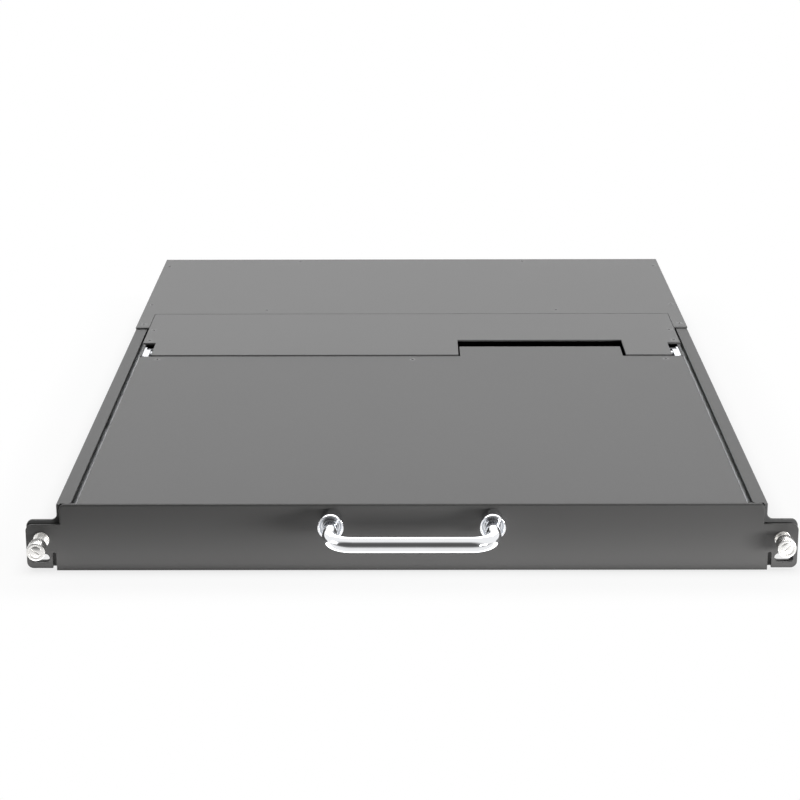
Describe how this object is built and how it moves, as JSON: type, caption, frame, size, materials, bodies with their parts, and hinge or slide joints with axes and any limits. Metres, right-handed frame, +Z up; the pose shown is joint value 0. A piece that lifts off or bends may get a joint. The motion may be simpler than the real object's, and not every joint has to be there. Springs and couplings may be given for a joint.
{
  "type": "rackmount lcd console drawer",
  "caption": "One-unit rack drawer whose sliding tray carries a keyboard, a touchpad and a fold-up flat screen, with a switch housing fixed behind it.",
  "frame": {"origin": "midway between the slots of the two fixed rack ears, on the plane where the ears meet the rack's posts", "axes": "+Y from the drawer's front towards the back of the rack, +Z up, +X to the right as seen from the front"},
  "size_m": [0.4826, 0.7072, 0.044],
  "materials": {
    "chassis_paint": "fine matt powder coat",
    "cover_paint": "fine matt powder coat",
    "tray_paint": "matt powder coat",
    "panel_paint": "fine textured powder coat",
    "lid_paint": "fine matt powder coat",
    "black_screws": "black oxide",
    "handle_chrome": "bright polished chrome",
    "thumb_nickel": "bright nickel",
    "hinge_steel": "bright zinc",
    "slide_zinc": "zinc plated",
    "slide_balls": "bright steel",
    "port_metal": "tinned steel",
    "port_plastic": "moulded, blue",
    "inlet_plastic": "moulded, black",
    "rocker_plastic": "moulded, black",
    "circuit_board": "solder mask green",
    "supply_case": "plain sheet",
    "key_plastic": "fine moulded texture",
    "deck_plastic": "moulded texture",
    "touchpad_plastic": "satin film",
    "button_plastic": "satin",
    "bezel_plastic": "matt",
    "screen_black": "dark polished screen",
    "screen_case": "plain",
    "bumper_rubber": "soft black rubber"
  },
  "bodies": {
    "chassis": {"chassis_floor": "chassis_paint", "side_rail_left": "chassis_paint", "side_rail_right": "chassis_paint", "rear_cover": "cover_paint", "rear_cover_screws": "black_screws", "kvm_bulkhead": "chassis_paint", "rear_panel": "chassis_paint", "port_shells": "port_metal", "port_inserts": "port_plastic", "jack_screws": "port_metal", "power_inlet": "inlet_plastic", "power_switch_frame": "inlet_plastic", "kvm_board": "circuit_board", "power_supply": "supply_case", "slide_outer_members": "slide_zinc"},
    "power_rocker": {"power_rocker": "rocker_plastic"},
    "drawer": {"slide_inner_members": "slide_zinc", "front_panel": "panel_paint", "ear_bushings": "thumb_nickel", "handle_bar": "handle_chrome", "handle_ferrules": "handle_chrome", "drawer_screws": "black_screws", "drawer_tray": "tray_paint", "drawer_cover": "cover_paint", "keyboard_deck": "deck_plastic", "keyboard_base": "deck_plastic", "touchpad": "touchpad_plastic", "hinge_brackets": "hinge_steel", "thumb_spring_left": "thumb_nickel", "thumb_spring_right": "thumb_nickel"},
    "lid": {"lid_shell": "lid_paint", "screen_bezel": "bezel_plastic", "screen_glass": "screen_black", "screen_module": "screen_case", "lid_screws": "black_screws", "lid_bumpers": "bumper_rubber", "hinge_arms": "hinge_steel"},
    "slide_middle_left": {"slide_middle_left": "slide_zinc"},
    "outer_cage_left": {"outer_cage_left": "slide_balls"},
    "inner_cage_left": {"inner_cage_left": "slide_balls"},
    "slide_middle_right": {"slide_middle_right": "slide_zinc"},
    "outer_cage_right": {"outer_cage_right": "slide_balls"},
    "inner_cage_right": {"inner_cage_right": "slide_balls"},
    "keys_space_row": {"keys_space_row": "key_plastic"},
    "keys_shift_row": {"keys_shift_row": "key_plastic"},
    "keys_home_row": {"keys_home_row": "key_plastic"},
    "keys_tab_row": {"keys_tab_row": "key_plastic"},
    "keys_number_row": {"keys_number_row": "key_plastic"},
    "keys_function_row": {"keys_function_row": "key_plastic"},
    "touchpad_button_left": {"touchpad_button_left": "button_plastic"},
    "touchpad_button_right": {"touchpad_button_right": "button_plastic"},
    "osd_button_menu": {"osd_button_menu": "button_plastic"},
    "osd_button_left": {"osd_button_left": "button_plastic"},
    "osd_button_right": {"osd_button_right": "button_plastic"},
    "osd_button_auto": {"osd_button_auto": "button_plastic"},
    "osd_button_power": {"osd_button_power": "button_plastic"},
    "thumb_washer_left": {"thumb_washer_left": "thumb_nickel"},
    "thumbscrew_left": {"thumbscrew_left": "thumb_nickel"},
    "thumb_washer_right": {"thumb_washer_right": "thumb_nickel"},
    "thumbscrew_right": {"thumbscrew_right": "thumb_nickel"}
  },
  "joints": [
    {"name": "drawer_slide", "type": "slide", "parent": "chassis", "child": "drawer", "axis": [0, -1, 0], "range_m": [0, 0.4]},
    {"name": "slide_middle_left_travel", "type": "slide", "parent": "chassis", "child": "slide_middle_left", "axis": [0, -1, 0], "range_m": [0, 0.2]},
    {"name": "outer_cage_left_travel", "type": "slide", "parent": "chassis", "child": "outer_cage_left", "axis": [0, -1, 0], "range_m": [0, 0.1]},
    {"name": "inner_cage_left_travel", "type": "slide", "parent": "chassis", "child": "inner_cage_left", "axis": [0, -1, 0], "range_m": [0, 0.3]},
    {"name": "slide_middle_right_travel", "type": "slide", "parent": "chassis", "child": "slide_middle_right", "axis": [0, -1, 0], "range_m": [0, 0.2]},
    {"name": "outer_cage_right_travel", "type": "slide", "parent": "chassis", "child": "outer_cage_right", "axis": [0, -1, 0], "range_m": [0, 0.1]},
    {"name": "inner_cage_right_travel", "type": "slide", "parent": "chassis", "child": "inner_cage_right", "axis": [0, -1, 0], "range_m": [0, 0.3]},
    {"name": "lid_hinge", "type": "hinge", "parent": "drawer", "child": "lid", "pos_m": [0, 0.345, 0.031], "axis": [-1, 0, 0], "range_deg": [0, 108]},
    {"name": "power_rocker_tilt", "type": "hinge", "parent": "chassis", "child": "power_rocker", "pos_m": [-0.148, 0.643, 0.0136], "axis": [-1, 0, 0], "range_deg": [0, 18]},
    {"name": "keys_space_row_press", "type": "slide", "parent": "drawer", "child": "keys_space_row", "axis": [0, 0, -1], "range_m": [0, 0.002], "stiffness_N_per_m": 1500, "springref_m": -0.001},
    {"name": "keys_shift_row_press", "type": "slide", "parent": "drawer", "child": "keys_shift_row", "axis": [0, 0, -1], "range_m": [0, 0.002], "stiffness_N_per_m": 1500, "springref_m": -0.001},
    {"name": "keys_home_row_press", "type": "slide", "parent": "drawer", "child": "keys_home_row", "axis": [0, 0, -1], "range_m": [0, 0.002], "stiffness_N_per_m": 1500, "springref_m": -0.001},
    {"name": "keys_tab_row_press", "type": "slide", "parent": "drawer", "child": "keys_tab_row", "axis": [0, 0, -1], "range_m": [0, 0.002], "stiffness_N_per_m": 1500, "springref_m": -0.001},
    {"name": "keys_number_row_press", "type": "slide", "parent": "drawer", "child": "keys_number_row", "axis": [0, 0, -1], "range_m": [0, 0.002], "stiffness_N_per_m": 1500, "springref_m": -0.001},
    {"name": "keys_function_row_press", "type": "slide", "parent": "drawer", "child": "keys_function_row", "axis": [0, 0, -1], "range_m": [0, 0.002], "stiffness_N_per_m": 1500, "springref_m": -0.001},
    {"name": "touchpad_button_left_press", "type": "slide", "parent": "drawer", "child": "touchpad_button_left", "axis": [0, 0, -1], "range_m": [0, 0.0007], "stiffness_N_per_m": 800, "springref_m": -0.0005},
    {"name": "touchpad_button_right_press", "type": "slide", "parent": "drawer", "child": "touchpad_button_right", "axis": [0, 0, -1], "range_m": [0, 0.0007], "stiffness_N_per_m": 800, "springref_m": -0.0005},
    {"name": "osd_button_menu_press", "type": "slide", "parent": "lid", "child": "osd_button_menu", "axis": [0, 0, 1], "range_m": [0, 0.0006], "stiffness_N_per_m": 600, "springref_m": -0.0005},
    {"name": "osd_button_left_press", "type": "slide", "parent": "lid", "child": "osd_button_left", "axis": [0, 0, 1], "range_m": [0, 0.0006], "stiffness_N_per_m": 600, "springref_m": -0.0005},
    {"name": "osd_button_right_press", "type": "slide", "parent": "lid", "child": "osd_button_right", "axis": [0, 0, 1], "range_m": [0, 0.0006], "stiffness_N_per_m": 600, "springref_m": -0.0005},
    {"name": "osd_button_auto_press", "type": "slide", "parent": "lid", "child": "osd_button_auto", "axis": [0, 0, 1], "range_m": [0, 0.0006], "stiffness_N_per_m": 600, "springref_m": -0.0005},
    {"name": "osd_button_power_press", "type": "slide", "parent": "lid", "child": "osd_button_power", "axis": [0, 0, 1], "range_m": [0, 0.0006], "stiffness_N_per_m": 600, "springref_m": -0.0005},
    {"name": "thumbscrew_left_advance", "type": "slide", "parent": "drawer", "child": "thumb_washer_left", "axis": [0, 1, 0], "range_m": [0, 0.0035], "deforming": ["thumb_spring_left"]},
    {"name": "thumbscrew_left_turn", "type": "hinge", "parent": "thumb_washer_left", "child": "thumbscrew_left", "pos_m": [-0.2316, -0.006, 0.0128], "axis": [0, 1, 0], "range_deg": [0, 1590]},
    {"name": "thumbscrew_right_advance", "type": "slide", "parent": "drawer", "child": "thumb_washer_right", "axis": [0, 1, 0], "range_m": [0, 0.0035], "deforming": ["thumb_spring_right"]},
    {"name": "thumbscrew_right_turn", "type": "hinge", "parent": "thumb_washer_right", "child": "thumbscrew_right", "pos_m": [0.2316, -0.006, 0.0128], "axis": [0, 1, 0], "range_deg": [0, 1590]}
  ],
  "couplings": [
    {"joint": "slide_middle_left_travel", "follows": "drawer_slide", "ratio": 0.5},
    {"joint": "outer_cage_left_travel", "follows": "drawer_slide", "ratio": 0.25},
    {"joint": "inner_cage_left_travel", "follows": "drawer_slide", "ratio": 0.75},
    {"joint": "slide_middle_right_travel", "follows": "drawer_slide", "ratio": 0.5},
    {"joint": "outer_cage_right_travel", "follows": "drawer_slide", "ratio": 0.25},
    {"joint": "inner_cage_right_travel", "follows": "drawer_slide", "ratio": 0.75},
    {"joint": "thumbscrew_left_turn", "follows": "thumbscrew_left_advance", "rad_per_m": 7854},
    {"joint": "thumbscrew_right_turn", "follows": "thumbscrew_right_advance", "rad_per_m": 7854}
  ]
}
